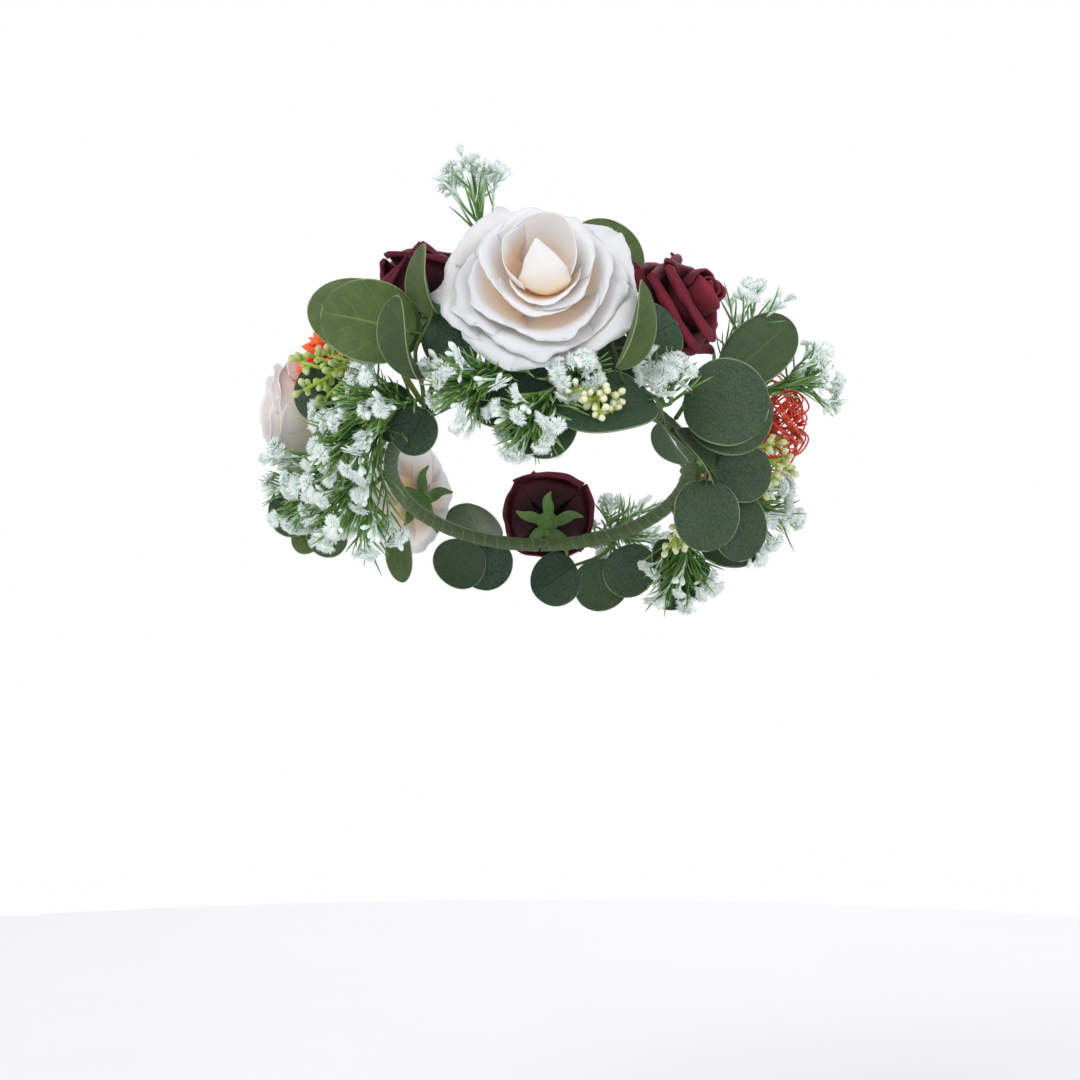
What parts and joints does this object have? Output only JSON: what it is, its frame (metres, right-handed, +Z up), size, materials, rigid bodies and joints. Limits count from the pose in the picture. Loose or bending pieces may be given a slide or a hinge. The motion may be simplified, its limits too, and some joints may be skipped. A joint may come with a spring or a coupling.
{
  "type": "flower crown",
  "caption": "Artificial flower crown on a taped wire hoop: a large cream rose in front, burgundy and cream roses, eucalyptus, gypsophila and berry sprays.",
  "frame": {"origin": "middle of the head opening, in the plane of the hoop's wire", "axes": "+Z up as worn; -Y forwards, where the large rose is; +X to the right as seen from the front, which is the wearer's left. Left and right in node names are as seen from the front"},
  "size_m": [0.3186, 0.2818, 0.2471],
  "materials": {
    "wire": "dull galvanised wire",
    "tape": "waxy crepe floral tape",
    "stem": "moulded, satin",
    "cream_silk": "matte petal cloth, ivory with peach depths",
    "burgundy_foam": "soft matte sheet foam",
    "orange_silk": "matte petal cloth",
    "red_styles": "satin, fine moulded filaments",
    "eucalyptus": "coated leaf cloth, satin, printed veins and pale rim",
    "gypsophila": "soft moulded white florets on green needles",
    "berry": "satin, cream-tipped"
  },
  "bodies": {
    "root": {"berry_pick_front": "berry", "berry_pick_left": "berry", "berry_pick_right": "berry", "berry_pick_right_low": "berry", "eucalyptus_front": "eucalyptus", "eucalyptus_left_front": "eucalyptus", "eucalyptus_left_low": "eucalyptus", "eucalyptus_left_middle": "eucalyptus", "eucalyptus_rear_left": "eucalyptus", "eucalyptus_rear_right": "eucalyptus", "eucalyptus_right_hanging": "eucalyptus", "eucalyptus_right_low": "eucalyptus", "eucalyptus_right_upper": "eucalyptus", "eucalyptus_top": "eucalyptus", "front_rose_heart": "cream_silk", "front_rose_inner_petals": "cream_silk", "front_rose_middle_petals": "cream_silk", "front_rose_outer_petals": "cream_silk", "front_rose_stem": "stem", "gypsophila_front": "gypsophila", "gypsophila_front_left": "gypsophila", "gypsophila_left_drooping": "gypsophila", "gypsophila_left_front": "gypsophila", "gypsophila_left_middle": "gypsophila", "gypsophila_left_side": "gypsophila", "gypsophila_rear": "gypsophila", "gypsophila_right_front": "gypsophila", "gypsophila_right_hanging": "gypsophila", "gypsophila_right_low": "gypsophila", "gypsophila_right_side": "gypsophila", "gypsophila_right_top": "gypsophila", "gypsophila_top_left": "gypsophila", "gypsophila_front_right": "gypsophila", "hoop_wire": "wire", "left_foam_rose_inner_petals": "burgundy_foam", "left_foam_rose_outer_petals": "burgundy_foam", "left_foam_rose_stem": "stem", "left_side_rose_inner_petals": "cream_silk", "left_side_rose_outer_petals": "cream_silk", "left_side_rose_stem": "stem", "orange_dahlia_inner_petals": "orange_silk", "orange_dahlia_outer_petals": "orange_silk", "orange_dahlia_stem": "stem", "pincushion_cone": "red_styles", "pincushion_stem": "stem", "pincushion_styles": "red_styles", "rear_foam_rose_inner_petals": "burgundy_foam", "rear_foam_rose_outer_petals": "burgundy_foam", "rear_foam_rose_stem": "stem", "rear_left_rose_inner_petals": "cream_silk", "rear_left_rose_outer_petals": "cream_silk", "rear_left_rose_stem": "stem", "right_foam_rose_inner_petals": "burgundy_foam", "right_foam_rose_outer_petals": "burgundy_foam", "right_foam_rose_stem": "stem", "right_side_rose_inner_petals": "cream_silk", "right_side_rose_outer_petals": "cream_silk", "right_side_rose_stem": "stem", "tape_wrap_left": "tape", "tape_wrap_right": "tape"}
  },
  "joints": []
}
